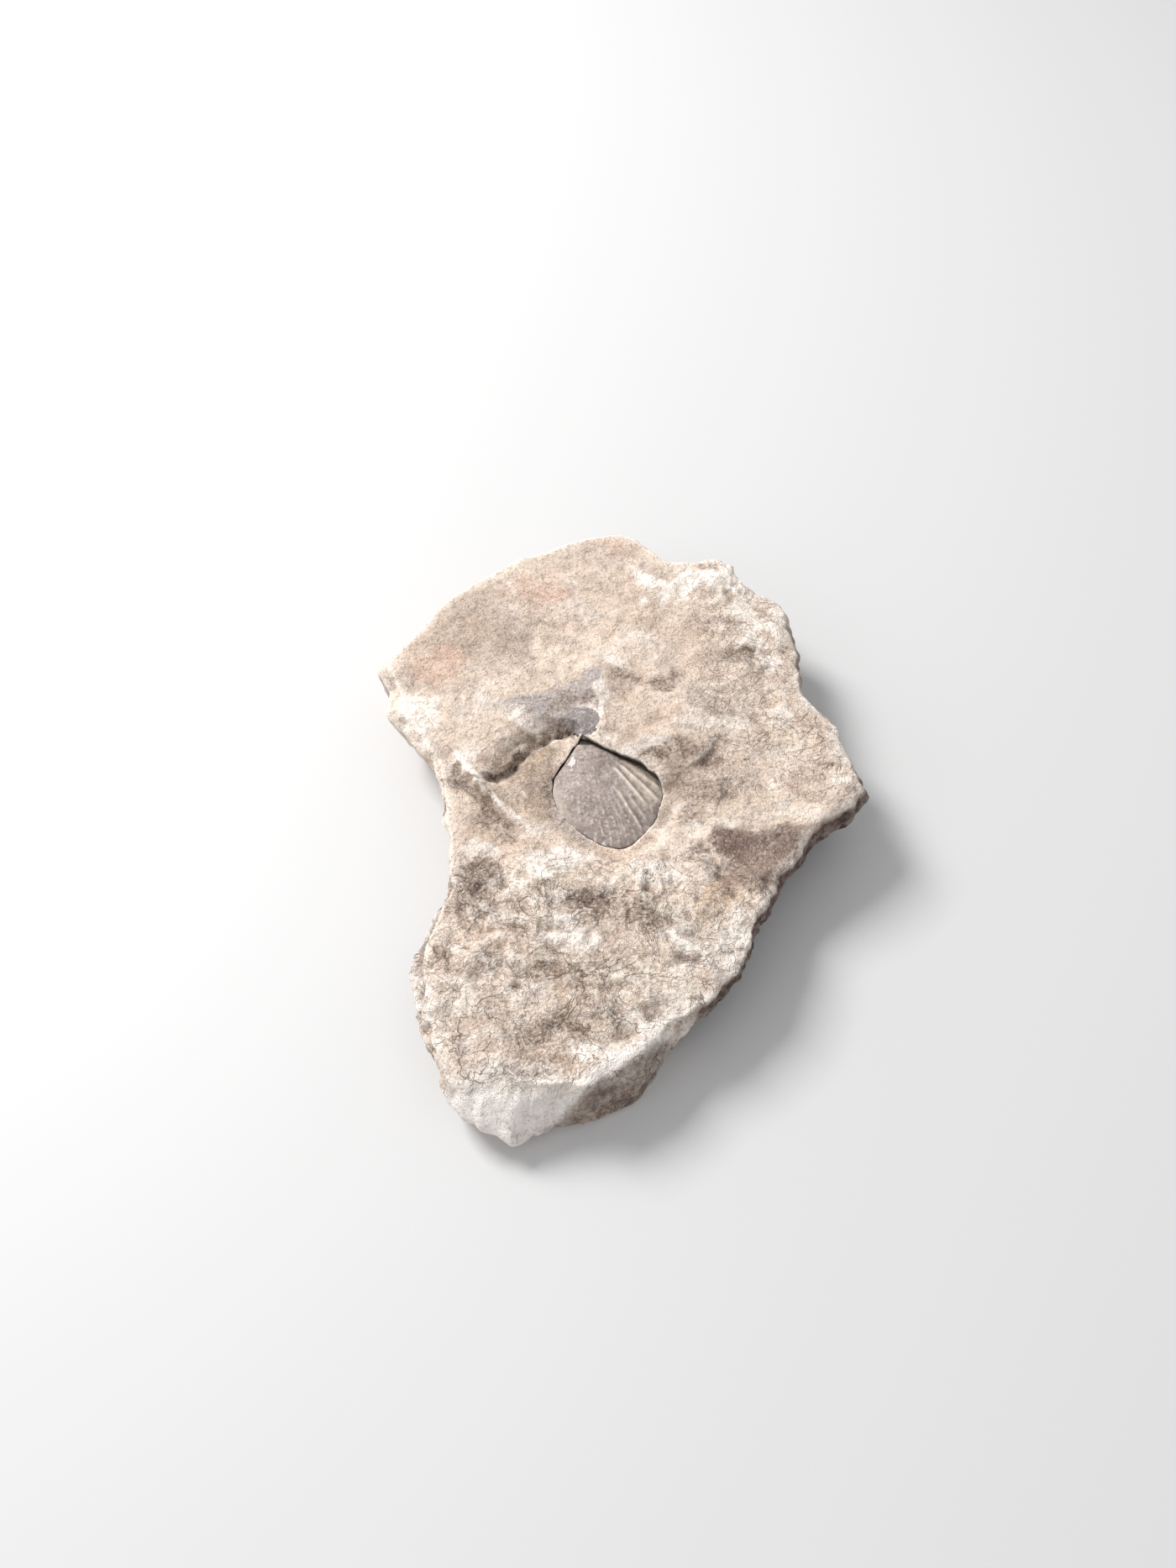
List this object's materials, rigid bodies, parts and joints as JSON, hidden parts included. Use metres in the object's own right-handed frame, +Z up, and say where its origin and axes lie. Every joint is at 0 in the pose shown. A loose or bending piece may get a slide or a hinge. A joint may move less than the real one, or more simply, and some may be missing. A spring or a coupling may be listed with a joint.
{
  "type": "fossil brachiopod in matrix",
  "caption": "Small ribbed brachiopod valve seated in a loose, irregular slab of pale limestone that lies flat on its underside.",
  "frame": {"origin": "middle of the footprint's bounding box, on the surface the slab rests on", "axes": "+Z up out of the fossil face, +Y away from the slab's pointed toe, +X to the right"},
  "size_m": [0.0668, 0.0932, 0.0125],
  "materials": {
    "limestone": "matt, fine sugary grain",
    "fossil_shell": "matt to dull satin",
    "worn_fossil_shell": "matt to dull satin"
  },
  "bodies": {
    "root": {"limestone_matrix": "limestone", "brachiopod_valve": "fossil_shell", "umbo_fragment": "worn_fossil_shell"}
  },
  "joints": []
}
